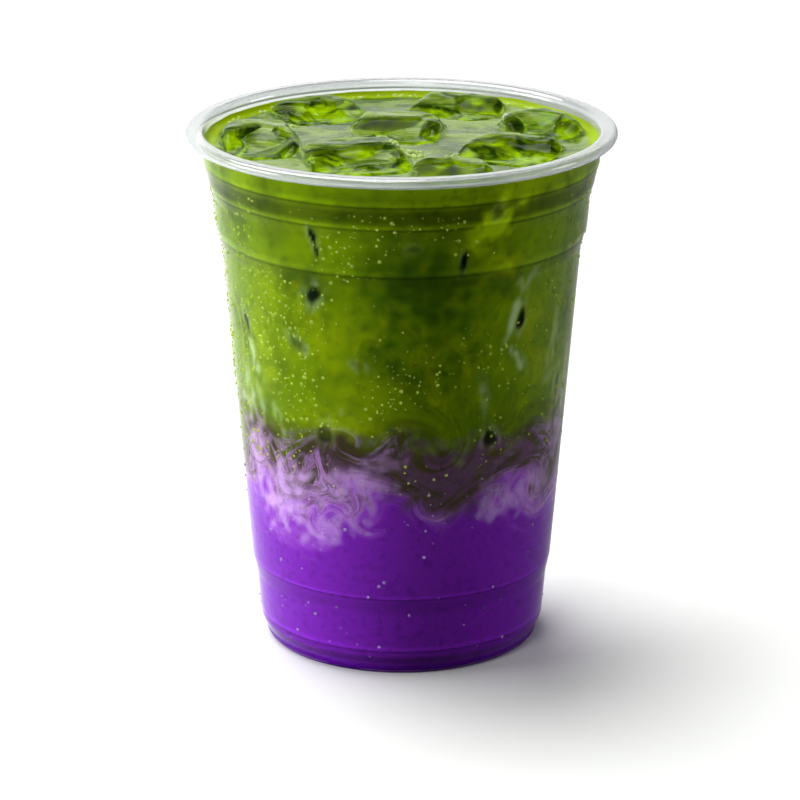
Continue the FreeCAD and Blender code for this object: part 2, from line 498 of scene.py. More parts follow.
def makeClearMaterial(name):
    # lamps shine through it: shadow rays pass as through plain colour
    look = clearLooks[name]
    material, tree = newMaterial(name)
    place = placeOf(tree)
    scale, strength = look["ripple"]
    ripple = noiseOf(tree, place, scale, 2).outputs["Fac"]
    haze = noiseOf(tree, place, *clearFinish["haze"]).outputs["Fac"]
    spread = (look["rough"] * clearFinish["smoothest"], look["rough"] * clearFinish["roughest"])
    tint = look["tint"]
    if "low" in look:
        up = remap(tree, axisOf(tree, place, "Z"), *look["lowUpTo"])
        tint = mixColour(tree, up, look["low"], look["tint"])
    shader = addNode(
        tree,
        "ShaderNodeBsdfPrincipled",
        {
            "Base Color": tint,
            "Roughness": remap(tree, haze, *clearFinish["hazeRange"], *spread),
            "IOR": look["ior"],
            "Specular Tint": (look["mirror"],) * 3 + (1,),
            "Transmission Weight": look["passes"],
            "Normal": bumpOf(tree, ripple, strength, clearFinish["bumpDistance"]),
        },
    )
    clear = addNode(tree, "ShaderNodeBsdfTransparent", {"Color": look["underLamps"]})
    path = addNode(tree, "ShaderNodeLightPath")
    mixed = addNode(
        tree,
        "ShaderNodeMixShader",
        {0: path.outputs["Is Shadow Ray"], 1: shader.outputs[0], 2: clear.outputs[0]},
    )
    addNode(tree, "ShaderNodeOutputMaterial", {"Surface": mixed.outputs[0]})
    return material


clearPlastic, milkyRim, meltingIce, waterDrop, foamBubble = map(makeClearMaterial, clearLooks)
print("clear materials made")

# the cup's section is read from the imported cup
section = {
    "near": 2e-6,
    "rimBelowTop": 2.8 * mm,
    "intoWall": 0.15 * mm,
    "footEdge": 30.5 * mm,
    "mixIfMissed": 43 * mm,
}


def treeOf(obj):
    mesh = obj.data
    points = [v.co for v in mesh.vertices]
    return BVHTree.FromPolygons(points, [tuple(p.vertices) for p in mesh.polygons])


def cupSection():
    # radius and height from under the floor, out, over the rim and down to the floor inside
    work = bmesh.new()
    work.from_mesh(bpy.data.objects["cup"].data)
    bmesh.ops.remove_doubles(work, verts=work.verts, dist=section["near"] / 2)
    linked = {}
    for edge in work.edges:
        a, b = edge.verts
        if all(abs(v.co.y) < section["near"] and v.co.x > -section["near"] for v in (a, b)):
            linked.setdefault(a, []).append(b)
            linked.setdefault(b, []).append(a)
    here = min((v for v, others in linked.items() if len(others) == 1), key=lambda v: v.co.z)
    before, path = None, []
    while here:
        path.append((here.co.x, here.co.z))
        onward = [v for v in linked[here] if v is not before]
        before, here = here, onward[0] if onward else None
    work.free()
    return np.array(path)


cupPath = cupSection()
rimFoot = cupTop - section["rimBelowTop"]
innerFrom = int(np.nonzero(cupPath[:, 1] > rimFoot)[0][-1])
innerPath = cupPath[innerFrom:][::-1]
outerUpTo = int(np.nonzero(cupPath[:, 1] > rimFoot)[0][0])
outerPath = cupPath[: outerUpTo + 1]


def movedOut(path, distance):
    # path runs from the axis outwards and up, so its right-hand side lies in the wall
    along = np.gradient(path, axis=0)
    along /= np.linalg.norm(along, axis=1)[:, None]
    return path + distance * np.stack([along[:, 1], -along[:, 0]], axis=1)


inside = movedOut(innerPath, section["intoWall"])
wallPart = inside[int(np.argmax(inside[:, 0] > section["footEdge"])):]
wallPart = wallPart[np.concatenate([[True], np.diff(np.maximum.accumulate(wallPart[:, 1])) > 0])]


def insideRadius(height):
    return np.interp(height, wallPart[:, 1], wallPart[:, 0])


outerWall = outerPath[int(np.argmax(outerPath[:, 0] > section["footEdge"])):]


def outsideRadius(height):
    return np.interp(height, outerWall[:, 1], outerWall[:, 0])


mixTree = treeOf(bpy.data.objects["ube_milk"])


def hitBelow(tree, x, y):
    return tree.ray_cast(Vector((x, y, overhead)), Vector((0, 0, -1)))[0]


def mixHeight(x, y):
    hit = hitBelow(mixTree, x, y)
    return hit.z if hit else section["mixIfMissed"]


print("section of the cup read,", len(cupPath), "points")

around = 448  # columns of points round the cup's axis


def angles(columns=around):
    return np.arange(columns) / columns * math.tau


def ringMesh(name, rings, poles=None, columns=around):
    # rings: (radius, height) pairs, one value for all columns or one for each.
    # poles: heights that close both ends on the axis; without them the last ring joins the first
    turn = angles(columns)
    points = []
    for radius, height in rings:
        points += list(zip(radius * np.cos(turn), radius * np.sin(turn), height * np.ones(columns)))
    faces = []
    rows = len(rings)
    for k in range(rows - 1 if poles else rows):
        a, b = k * columns, (k + 1) % rows * columns
        for i in range(columns):
            j = (i + 1) % columns
            faces.append((a + i, a + j, b + j, b + i))
    if poles:
        first, last = len(points), len(points) + 1
        points += [(0, 0, poles[0]), (0, 0, poles[1])]
        a = (rows - 1) * columns
        for i in range(columns):
            j = (i + 1) % columns
            faces.append((first, j, i))
            faces.append((a + i, a + j, last))
    mesh = bpy.data.meshes.new(name)
    mesh.from_pydata([tuple(map(float, p)) for p in points], [], faces)
    mesh.polygons.foreach_set("use_smooth", [True] * len(mesh.polygons))
    mesh.update()
    return mesh


def newPiece(name, mesh, material, slot, *replaced):
    obj = newObject(name, mesh)
    mesh.materials.clear()
    mesh.materials.append(material)
    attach(obj, "root")
    if replaced:
        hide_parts(*replaced)


def columnXY(radius):
    return radius * np.cos(angles()), radius * np.sin(angles())


cupLook = {
    "columns": 300,
    "shrink": 0.01 * mm,
    "floorRings": (0.25, 0.5, 0.75, 0.9),
    "sharp": math.radians(50),
}


def makeCup():
    # the joint between wall and rim is a cut straight across the wall
    outer = np.vstack([outerPath[:-1], [[np.interp(rimFoot, outerWall[:, 1], outerWall[:, 0]), rimFoot]]])
    inner = innerPath[:-1]
    innerJoint = [[float(np.interp(rimFoot, innerPath[-2:, 1], innerPath[-2:, 0])), rimFoot]]
    inner = np.vstack([inner, innerJoint])[::-1]
    low, high = outer[0], inner[-1]
    under = [(low[0] * share, low[1]) for share in cupLook["floorRings"]]
    over = [(high[0] * share, high[1]) for share in reversed(cupLook["floorRings"])]
    wallRings = under + [tuple(p) for p in outer] + [tuple(p) for p in inner] + over
    wall = ringMesh("cupWall", wallRings, (low[1], high[1]), cupLook["columns"])
    lip = cupPath[outerUpTo:innerFrom + 1]
    rimRings = [tuple(outer[-1])] + [(r - cupLook["shrink"], z) for r, z in lip] + [tuple(inner[0])]
    rim = ringMesh("cupRim", rimRings, None, cupLook["columns"])
    for mesh in (wall, rim):
        mesh.set_sharp_from_angle(angle=cupLook["sharp"])
        print(mesh.name, "faces", len(mesh.polygons))
    newPiece("cupWall", wall, clearPlastic, "clear_plastic", "cup")
    newPiece("cupRim", rim, milkyRim, "clear_plastic", "cup")


makeCup()
print("cup made")

# how the milks are stirred
stirring = {
    "seed": 3,
    "whirls": 74,
    "heights": (45.0, 6.5),  # middle and spread, mm above the table
    "reach": (2.2, 8.5),  # mm
    "turn": (0.7, 2.3),  # radians
    "girth": 36.0,  # mm, radius at which distances round the cup are taken
    "waves": ((1.0, 3, 0.4), (1.0, 5, 0.5)),  # mm, waves round the cup, phase
    # degrees right of the front, half width in degrees, mm that the ube stands higher there
    "swells": [
        (16, 20, 12.0),
        (-11, 13, 9.0),
        (-30, 16, -1.5),
        (52, 13, 1.0),
        (-75, 20, 3.0),
        (80, 18, 4.0),
        (170, 30, 3.0),
    ],
    "swellFades": (56.0, 40.0),  # mm above the table
    "stillAbove": (74 * mm, 58 * mm),
}

sunkIce = {
    # degrees right of the front, height, half width, half height (mm), lean in degrees, dark: painted shade
    # where the ice lies against the wall, milky
    "shown": [
        (-27, 105.6, 1.0, 2.0, 10, 1.0, 0.35),
        (-26.3, 103.0, 0.55, 2.6, 12, 0.95, 0.25),
        (-29, 91.4, 1.7, 2.6, -18, 1.0, 0.55),
        (-61, 80.5, 0.9, 3.6, 18, 0.9, 0.6),
        (-35.6, 79.3, 2.6, 1.1, -35, 0.5, 0.45),
        (-14, 76.0, 1.7, 0.9, -35, 0.35, 0.35),
        (28.5, 111.6, 1.2, 1.4, 0, 0.7, 0.3),
        (18.6, 100.2, 0.75, 2.6, -6, 1.0, 0.25),
        (41.6, 84.4, 1.1, 3.2, -12, 1.0, 0.5),
        (66, 64.6, 1.6, 3.0, -8, 0.5, 0.9),
        (-27, 58.6, 2.0, 2.3, 0, 0.75, 0.2),
        (31.4, 57.6, 1.8, 2.2, 20, 0.9, 0.35),
        (3, 104.0, 1.6, 1.0, 10, 0.5, 0.1),
    ],
    "others": 22,
    "seed": 21,
    # from and to of the same seven values, for those out of sight
    "otherRanges": (
        (84, 276), (54.0, 108.0), (0.8, 2.2), (1.2, 4.2), (-35, 35), (0.4, 1.0), (0.2, 0.7),
    ),
    "haloShare": 0.75,
    # painted shade under the ice's ridges
    "underSurface": 0.84,  # how dark the drink is under the ice's ridges
}

# the five lists below: degrees right of the front, height, half width and half height in mm,
# lean in degrees, strength
# painted light: brighter patches where more light falls on the drink, and a few paler patches of its own
# round the back
litAndBrightPatches = [
    (-29, 83, 9, 10, 10, 0.45),
    (-48, 92, 6, 7, 0, 0.35),
    (27.5, 108, 4.4, 8.5, -38, 1.5),
    (-52, 76, 4, 12, 10, 0.5),
    (-12, 68, 10, 7, -15, 0.35),
    (-20, 61.5, 11, 4, 0, 0.6),
    (32, 99, 6, 4, -10, 0.8),
    (36, 116, 12, 3, 0, 0.5),
    (44, 84, 5, 6, 0, 0.5),
    (-20, 115, 22, 2.5, 0, 0.1),
    (120, 84, 9, 9, 15, 0.6),
    (-160, 96, 9, 8, 0, 0.6),
    (170, 68, 9, 7, 0, 0.5),
    (-110, 74, 8, 10, 10, 0.6),
]

# painted shade: darker patches at the front where little light falls on the drink, and a few darker clouds
# round the back
darkClouds = [
    (7, 94, 15, 17, 10, 0.75),
    (9, 74, 12, 12, -20, 0.35),
    (26, 62, 14, 9, 10, 0.3),
    (-20, 115.5, 16, 3, 0, 0.35),
    (150, 90, 14, 12, 0, 0.35),
    (-150, 76, 12, 14, 15, 0.3),
]

milkyStreaks = [
    (-58, 73.0, 1.5, 6.0, 16, 1.0),
    (-64, 64.0, 2.6, 8.0, 6, 0.6),
    (-56, 62.0, 1.4, 6.0, 10, 0.5),
    (-47, 60.5, 1.2, 5.0, 22, 0.45),
    (38.6, 86.0, 1.2, 7.0, -14, 1.0),
    (41.5, 75.5, 1.2, 4.6, 34, 1.0),
    (44, 93.5, 3.0, 1.8, 10, 0.6),
    (60, 74.0, 2.2, 9.0, -5, 0.45),
    (74, 66.0, 2.0, 9.0, -4, 0.5),
    (28, 68.0, 1.4, 5.0, 12, 0.35),
    (-22, 63.5, 3.0, 1.2, 20, 0.35),
    (158, 72.0, 2.2, 8.0, 14, 0.6),
    (-142, 84.0, 2.0, 7.0, -12, 0.55),
    (112, 66.0, 2.4, 8.0, 6, 0.6),
]

murkyParts = [
    (16, 47.0, 13.0, 8.0, -6, 1.3),
    (8, 51.5, 12.0, 6.5, 0, 1.3),
    (30, 53.0, 8.0, 6.5, 12, 1.1),
    (-40, 47.3, 4.0, 2.6, 10, 0.6),
    (-55, 54.0, 3.0, 3.0, 0, 0.6),
    (-57, 47.0, 2.5, 2.5, 0, 0.4),
    (50, 52.5, 7.0, 5.5, 0, 0.9),
    (-42, 47.0, 3.0, 4.0, 0, 0.4),
    (130, 49.0, 9.0, 5.0, 8, 0.7),
    (-155, 48.0, 10.0, 5.0, 0, 0.7),
]

lilacHaze = [
    (-48, 41.5, 9.0, 7.0, 20, 0.95),
    (-27, 35.5, 7.0, 3.5, 22, 0.6),
    (-62, 50.0, 5.0, 9.0, 0, 0.75),
    (-14, 48.5, 6.0, 3.5, 15, 0.6),
    (-25, 47.0, 5.0, 3.5, -10, 0.6),
    (-8, 52.0, 5.0, 2.5, 10, 0.35),
    (42, 41.0, 7.0, 3.4, -8, 0.6),
    (58, 43.0, 5.0, 5.0, 10, 0.6),
    (32, 41.0, 2.2, 5.5, 8, 0.6),
    (70, 54.0, 4.0, 7.0, 0, 0.6),
    (105, 44.0, 9.0, 5.0, 10, 0.7),
    (150, 42.0, 10.0, 5.0, -10, 0.8),
    (-165, 45.0, 9.0, 6.0, 10, 0.7),
    (-120, 43.0, 9.0, 5.0, -12, 0.8),
]

ovals = {
    # spots, how far noise bends their edge, where the edge begins and where it is full
    "murk": (murkyParts, 0.35, 1.3, 0.3),
    "haze": (lilacHaze, 1.1, 1.35, 0.2),
    "glow": (litAndBrightPatches, 0.7, 1.3, 0.1),
    "shady": (darkClouds, 0.6, 1.3, 0.1),
}

wallEdges = {
    # how far noise bends the edge, where it begins and where it is full
    "ice": (0.5, 1.2, 0.6),
    "halo": (2.0, 0.9),
    "haloFibres": (-0.45, 0.3),
    "streak": (0.8, 1.3, 0.2),
    "streakFibres": (-0.5, 0.1),
}

wallNoise = {
    # stretch round the cup and upwards, per mm, and seed
    "bend": (0.35, 0.35, 4.0),
    "fibres": (0.66, 0.275, 9.0),
}


def roundCup(points):
    # mm round the cup from the front, to the right as seen from there, and mm of height
    across = np.arctan2(points[:, 0], -points[:, 1]) * stirring["girth"]
    return across, points[:, 2] / mm


def wrapped(distance):
    lap = math.tau * stirring["girth"]
    return (distance + lap / 2) % lap - lap / 2


def stirred(points):
    # where the milk now at each point lay before it was stirred
    across, height = roundCup(points)
    rng = random.Random(stirring["seed"])
    for _ in range(stirring["whirls"]):
        centre = rng.uniform(0, math.tau) * stirring["girth"]
        level = rng.gauss(*stirring["heights"])
        reach = math.exp(rng.uniform(*[math.log(r) for r in stirring["reach"]]))
        turn = rng.choice((-1, 1)) * rng.uniform(*stirring["turn"])
        du, dv = wrapped(across - centre), height - level
        angle = turn * np.exp(-(du * du + dv * dv) / reach ** 2)
        c, s = np.cos(angle), np.sin(angle)
        across = centre + du * c - dv * s
        height = level + du * s + dv * c
    girth = stirring["girth"]
    turn = across / girth
    for size, waves, phase in stirring["waves"]:
        height = height + size * np.sin(turn * waves + phase)
    lifted = 0
    for degrees, width, lift in stirring["swells"]:
        away = wrapped(across - math.radians(degrees) * girth) / (math.radians(width) * girth)
        lifted = lifted + lift * np.exp(-away * away)
    height = height - lifted * softStep(height, *stirring["swellFades"])
    radius = np.hypot(points[:, 0], points[:, 1])
    return np.stack([np.sin(turn) * radius, -np.cos(turn) * radius, height * mm], axis=1)


def wobbleAt(across, height, name):
    wide, tall, seed = wallNoise[name]
    return np.array([noise.noise(Vector((a * wide, h * tall, seed))) for a, h in zip(across, height)])


def blobField(across, height, spot):
    # 0 at the middle of a leaning oval, 1 at its edge
    degrees, level, halfWidth, halfHeight, lean = spot[:5]
    du = wrapped(across - math.radians(degrees) * stirring["girth"])
    dv = height - level
    c, s = math.cos(math.radians(lean)), math.sin(math.radians(lean))
    return np.hypot((du * c + dv * s) / halfWidth, (dv * c - du * s) / halfHeight)


def softStep(value, low, high):
    t = np.clip((value - low) / (high - low), 0, 1)
    return t * t * (3 - 2 * t)


def allSpots():
    rng = random.Random(sunkIce["seed"])
    spots = list(sunkIce["shown"])
    for _ in range(sunkIce["others"]):
        spots.append([rng.uniform(*ends) for ends in sunkIce["otherRanges"]])
    return spots


def wallMarks(points):
    across, height = roundCup(points)
    bend = wobbleAt(across, height, "bend")
    fibres = wobbleAt(across, height, "fibres")
    marks = {name: np.zeros(len(points)) for name in ("sunk", "milky", *ovals)}

    def add(name, strength):
        marks[name] = np.maximum(marks[name], np.minimum(1, strength))

    for name, (spots, wobble, *edges) in ovals.items():
        for spot in spots:
            add(name, spot[5] * softStep(blobField(across, height, spot) + bend * wobble, *edges))
    wobble, *edges = wallEdges["ice"]
    fibrous = softStep(fibres, *wallEdges["haloFibres"])
    for spot in allSpots():
        reach = blobField(across, height, spot) + bend * wobble
        add("sunk", spot[5] * softStep(reach, *edges))
        add("milky", spot[6] * sunkIce["haloShare"] * softStep(reach, *wallEdges["halo"]) * fibrous)
    wobble, *edges = wallEdges["streak"]
    fibrous = softStep(fibres, *wallEdges["streakFibres"])
    for streak in milkyStreaks:
        reach = blobField(across, height, streak) + bend * wobble
        add("milky", streak[5] * softStep(reach, *edges) * fibrous)
    return marks


def pointsOf(mesh):
    return np.array([v.co for v in mesh.vertices])


def writeField(mesh, name, values):
    kind, key = ("FLOAT_VECTOR", "vector") if values.ndim == 2 else ("FLOAT", "value")
    layer = mesh.attributes.new(name, kind, "POINT")
    layer.data.foreach_set(key, np.ascontiguousarray(values, dtype=np.float32).ravel())


def dressMilk(mesh, onWall, bare, window=0.0, shade=0.0):
    # one value for each point: 1 on the wall, 1 on the open surface, 1 over ice, 1 where that is painted in
    # shade
    points = pointsOf(mesh)
    fade = (onWall * softStep(points[:, 2], *stirring["stillAbove"]))[:, None]
    flow = points * (1 - fade) + stirred(points) * fade
    marks = wallMarks(points)
    writeField(mesh, "flow", flow)
    underSurface = sunkIce["underSurface"] * bare * window * shade
    for name, values in marks.items():
        values = values * onWall
        writeField(mesh, name, np.maximum(values, underSurface) if name == "sunk" else values)
    writeField(mesh, "window", bare * window)
    writeField(mesh, "open", bare)


def mixAtColumns(radius):
    xs, ys = columnXY(radius)
    return np.array([mixHeight(x, y) for x, y in zip(xs, ys)])


milkRings = {
    "mix": (0.97, 0.9, 0.8, 0.68, 0.55, 0.42, 0.3, 0.18, 0.08),  # shares of the radius
    "floor": (1.5 * mm, 30.4 * mm, 42),  # first and last radius, rings
    "ubeWall": (92, 0.85),  # rings, and how they crowd upwards
    "lowWall": (62 * mm, 34),  # up to this height, rings
    "upperWall": {"tallest": 1.2 * mm, "step": 0.9 * mm, "shortest": 0.3 * mm, "belowTop": 0.2 * mm},
    "surface": [step * mm for step in (0.12, 0.3, 0.55, 0.85, 1.2, 1.6)],  # in from the wall
    "surfaceStep": (2.0 * mm, 0.52 * mm, 0.6 * mm),  # from, step, how far from the middle it ends
    "thinEdge": (0.85, 3.6 * mm, 1.4 * mm),
    "firstGuess": 34.5 * mm,
    "fromWall": 0.3 * mm,
}

# the height of the boundary between the milks at the wall
wallMix = mixAtColumns(np.full(around, milkRings["firstGuess"]))
for _ in range(3):
    wallMix = mixAtColumns(insideRadius(wallMix) - milkRings["fromWall"])


def mixRingAt(share):
    radius = insideRadius(wallMix) * share
    return radius, mixAtColumns(radius)


def makeUbe():
    floorPart = inside[inside[:, 0] < section["footEdge"]]
    rings = []
    for radius in np.linspace(*milkRings["floor"]):
        rings.append((np.full(around, radius), np.interp(radius, floorPart[:, 0], floorPart[:, 1])))
    lowest = wallPart[0, 1]
    wallFrom = len(rings)
    count, crowd = milkRings["ubeWall"]
    for share in np.linspace(0, 1, count) ** crowd:
        heights = lowest + share * (wallMix - lowest)
        rings.append((insideRadius(heights), heights))
    wallTo = len(rings)
    rings += [mixRingAt(share) for share in milkRings["mix"]]
    mesh = ringMesh("ubeMilk", rings, (inside[0, 1], mixHeight(0, 0)))
    mesh.set_sharp_from_angle(angle=cupLook["sharp"])
    onWall = np.zeros(len(mesh.vertices))
    onWall[wallFrom * around:wallTo * around] = 1
    dressMilk(mesh, onWall, np.zeros(len(onWall)))
    print("ube faces", len(mesh.polygons))
    newPiece("ubeMilk", mesh, ubeMilk, "ube_milk", "ube_milk")


makeUbe()
print("ube layer made")

# one relief serves the ice and the drink's surface
surface = {
    "level": drinkLevel,
    "highest": cupTop - 0.35 * mm,
    "wallWidth": 1.7 * mm,
    "grid": 0.35 * mm,
    "reach": 46 * mm,
    "skin": 0.28 * mm,  # drink over the ice
    "skinShare": 0.7,
    "soft": 0.35 * mm,
    "pitDepth": 1.5 * mm,
    "pitEdge": (0.35, 0.6),
    # height of the ripples and wrinkles, noise per metre, seed
    "waves": ((0.22 * mm, 130, 7.0), (0.04 * mm, 300, 8.0)),
}

iceLook = {
    "names": [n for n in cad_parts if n.startswith("ice_")],
    "seed": 4,
    "lift": (3.2 * mm, 3.7 * mm),  # how far a ridge stands above the block's flat front
    "sunkFront": 0.22,  # share of that at the front
    "ridge": 0.45,  # where the ridge runs, from -1 at the front to 1 at the back
    "steep": 0.85,  # how far in front of the ridge its steep face reaches
    "bend": (0.25, 0.6),  # how far the ridge's ends come forward
    "slant": 0.3,
    "uneven": 0.35,
    "facets": 1.0 * mm,
    # noise per metre and seed of the facets, coarse and fine, of patches and of blots of painted shade
    "noises": ((120, 1.0), (230, 3.0), (110, 2.0), (170, 5.0)),
    "soft": 1.5 * mm,
    "ownSoft": 0.45 * mm,
    "underLevel": 0.6 * mm,
    # parts of the block's plan where its top is full, and where it can be seen through
    "humpEdge": (0.3, 0.85),
    "windowEdge": (0.5, 0.8),
    "windowFront": (-1.1, -0.85),
    "windowBack": (0.1, 0.06),  # past the ridge, and before it
    # painted shade on each block's face before its ridge
    "darkFace": (0.75, 0.2),  # before the ridge, as a share of its face, and where it is full
    "windowHoles": (-0.3, -0.1),
    "blotEdge": (-0.35, 0.0),
    "columns": 84,
    "planEdge": 0.42,
    "outlineSteps": (0.5, 16, 0.2),  # mm from the middle: first, last, step
    "leastReach": 0.8 * mm,
    "floorRise": 0.8 * mm,
    # shares of the reach and mm above the floor, then shares of the side, then of the reach
    "bottomRings": ((0.35, 0.0), (0.62, 0.1), (0.82, 0.9), (0.94, 2.4), (0.99, 4.4)),
    "sideRings": (0.4, 0.7, 0.88),
    "topRings": (0.985, 0.95, 0.9, 0.84, 0.77, 0.7, 0.63, 0.56, 0.49, 0.42, 0.35, 0.28, 0.21, 0.14, 0.07),
    "edgeShare": 0.96,
    "lumps": (210, 900, 0.25 * mm),  # noise per metre, its shift from block to block, depth
}


def blurred(field, sigma):
    reach = int(math.ceil(3 * sigma))
    weights = np.exp(-0.5 * (np.arange(-reach, reach + 1) / sigma) ** 2)
    weights /= weights.sum()
    padded = np.pad(field, reach, mode="edge")
    rows = np.apply_along_axis(lambda r: np.convolve(r, weights, "valid"), 1, padded)
    return np.apply_along_axis(lambda c: np.convolve(c, weights, "valid"), 0, rows)


def gridNoise(line, scale, level):
    return np.array([[noise.noise(Vector((x * scale, y * scale, level))) for x in line] for y in line])


def readGrid(line, field, x, y):
    # smooth over three by three points of the grid, so its squares don't show
    u, v = (x - line[0]) / surface["grid"], (y - line[0]) / surface["grid"]
    i = np.clip(np.rint(u).astype(int), 1, len(line) - 2)
    j = np.clip(np.rint(v).astype(int), 1, len(line) - 2)

    def weights(part):
        part = np.clip(part, -0.5, 0.5)
        return 0.5 * (0.5 - part) ** 2, 0.75 - part * part, 0.5 * (0.5 + part) ** 2

    total = 0.0
    for dj, across in zip((-1, 0, 1), weights(v - j)):
        for di, along in zip((-1, 0, 1), weights(u - i)):
            total = total + field[j + dj, i + di] * across * along
    return total


def planOf(node, line):
    # 1 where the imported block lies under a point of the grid
    tree = treeOf(bpy.data.objects[node])
    low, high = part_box(node)
    plan = np.zeros((len(line), len(line)))
    for j in np.nonzero((line >= low[1]) & (line <= high[1]))[0]:
        for i in np.nonzero((line >= low[0]) & (line <= high[0]))[0]:
            plan[j, i] = hitBelow(tree, line[i], line[j]) is not None
    return plan


def makeRelief():
    step = surface["grid"]
    half = int(surface["reach"] / step)
    line = np.arange(-half, half + 1) * step
    rng = random.Random(iceLook["seed"])
    coarse, fine, patches, blots = (gridNoise(line, *look) for look in iceLook["noises"])
    facets = np.abs(coarse) + 0.5 * np.abs(fine)
    blots = softStep(blots, *iceLook["blotEdge"])
    hump, window, shade = (np.zeros((len(line), len(line))) for _ in range(3))
    plans = {}
    ridge, steep, front = iceLook["ridge"], iceLook["steep"], iceLook["sunkFront"]
    for node in iceLook["names"]:
        low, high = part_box(node)
        core = blurred(planOf(node, line), iceLook["soft"] / step)
        plans[node] = core
        depth = ((line - (low[1] + high[1]) / 2) / ((high[1] - low[1]) / 2))[:, None]
        across = ((line - (low[0] + high[0]) / 2) / ((high[0] - low[0]) / 2))[None, :]
        slant = rng.uniform(-iceLook["slant"], iceLook["slant"])
        bend = rng.uniform(*iceLook["bend"])
        depth = depth + bend * across ** 2 + slant * across + iceLook["uneven"] * patches
        rise = front + (1 - front) * softStep(depth, ridge - steep, ridge)
        lift = rng.uniform(*iceLook["lift"]) - iceLook["facets"] * facets
        hump = np.maximum(hump, softStep(core, *iceLook["humpEdge"]) * rise * lift)
        over, under = iceLook["windowBack"]
        facing = softStep(depth, *iceLook["windowFront"]) * softStep(depth, ridge + over, ridge - under)
        own = softStep(core, *iceLook["windowEdge"]) * facing
        window = np.maximum(window, own)
        # painted shade on the face before the ridge
        start, end = iceLook["darkFace"]
        shade = np.maximum(shade, own * softStep(depth, ridge - start * steep, ridge - end) * blots)
    window = window * softStep(patches, *iceLook["windowHoles"])
    ice = surface["level"] - iceLook["underLevel"] + blurred(hump, iceLook["ownSoft"] / step)
    ice = np.minimum(ice, surface["highest"] - surface["skin"])
    film = np.maximum(surface["level"], ice + surface["skin"] * (surface["skinShare"] + patches))
    ripples = sum(size * gridNoise(line, scale, seed) for size, scale, seed in surface["waves"])
    film = surface["level"] + blurred(film - surface["level"], surface["soft"] / step) + ripples
    drink = film - (film - ice + surface["pitDepth"]) * softStep(window, *surface["pitEdge"])
    return line, ice, np.minimum(drink, surface["highest"]), plans, window, np.minimum(1, shade)


gridLine, iceRelief, drinkRelief, icePlans, iceWindow, iceShade = makeRelief()
print("relief of the surface worked out")


def surfaceHeight(x, y):
    return readGrid(gridLine, drinkRelief, x, y)


def outlineOf(node, centre, turn):
    # distance from the middle to the block's edge in each direction
    reach = np.zeros(len(turn))
    for distance in np.arange(*iceLook["outlineSteps"]) * mm:
        x, y = centre[0] + distance * np.cos(turn), centre[1] + distance * np.sin(turn)
        within = readGrid(gridLine, icePlans[node], x, y) > iceLook["planEdge"]
        reach = np.where(within & (reach > distance - 0.5 * mm), distance, reach)
        if distance < iceLook["leastReach"]:
            reach[:] = distance
    smooth = reach
    for _ in range(3):
        smooth = (np.roll(smooth, 1) + smooth + np.roll(smooth, -1)) / 3
    return smooth


def makeIce(node):
    # a melted block under the relief: rings from the bottom, up the side and over the top
    low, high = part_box(node)
    centre = ((low[0] + high[0]) / 2, (low[1] + high[1]) / 2)
    turn = angles(iceLook["columns"])
    reach = outlineOf(node, centre, turn)
    floor = low[2] + iceLook["floorRise"]
    rings = []
    for share, rise in iceLook["bottomRings"]:
        rings.append((reach * share, np.full(len(turn), floor + rise * mm)))
    sideFrom = floor + iceLook["bottomRings"][-1][1] * mm

    def topAt(radius):
        x, y = centre[0] + radius * np.cos(turn), centre[1] + radius * np.sin(turn)
        return np.minimum(readGrid(gridLine, iceRelief, x, y), surface["highest"])

    edgeTop = topAt(reach * iceLook["edgeShare"])
    rings += [(reach, sideFrom + (edgeTop - sideFrom) * share) for share in iceLook["sideRings"]]
    rings += [(reach * share, topAt(reach * share)) for share in iceLook["topRings"]]
    top = float(readGrid(gridLine, iceRelief, np.array(centre[0]), np.array(centre[1])))
    name = "ice" + "".join(w.capitalize() for w in node.split("_")[1:])
    mesh = ringMesh(name, rings, (floor, top), iceLook["columns"])
    scale, shift, depth = iceLook["lumps"]
    for v in mesh.vertices:
        push = depth * noise.noise(v.co * scale + Vector((centre[0] * shift, 0, 0)))
        v.co += Vector((*centre, 0)) + v.normal * push
    mesh.update()
    newPiece(name, mesh, meltingIce, "ice", node)


for node in iceLook["names"]:
    makeIce(node)
print("ice made:", len(iceLook["names"]))


def upperWallHeights(top):
    # heights up to the drink's edge, close where the wall bends
    spacing = milkRings["upperWall"]
    start = milkRings["lowWall"][0]
    heights = [start]
    bends = wallPart[:, 1]
    for height in bends[(bends > start) & (bends < top - spacing["belowTop"])]:
        gap = height - heights[-1]
        if gap > spacing["tallest"]:
            heights += list(np.linspace(heights[-1], height, int(gap / spacing["step"]) + 1)[1:])
        elif gap >= spacing["shortest"]:
            heights.append(height)
    return heights + [top]


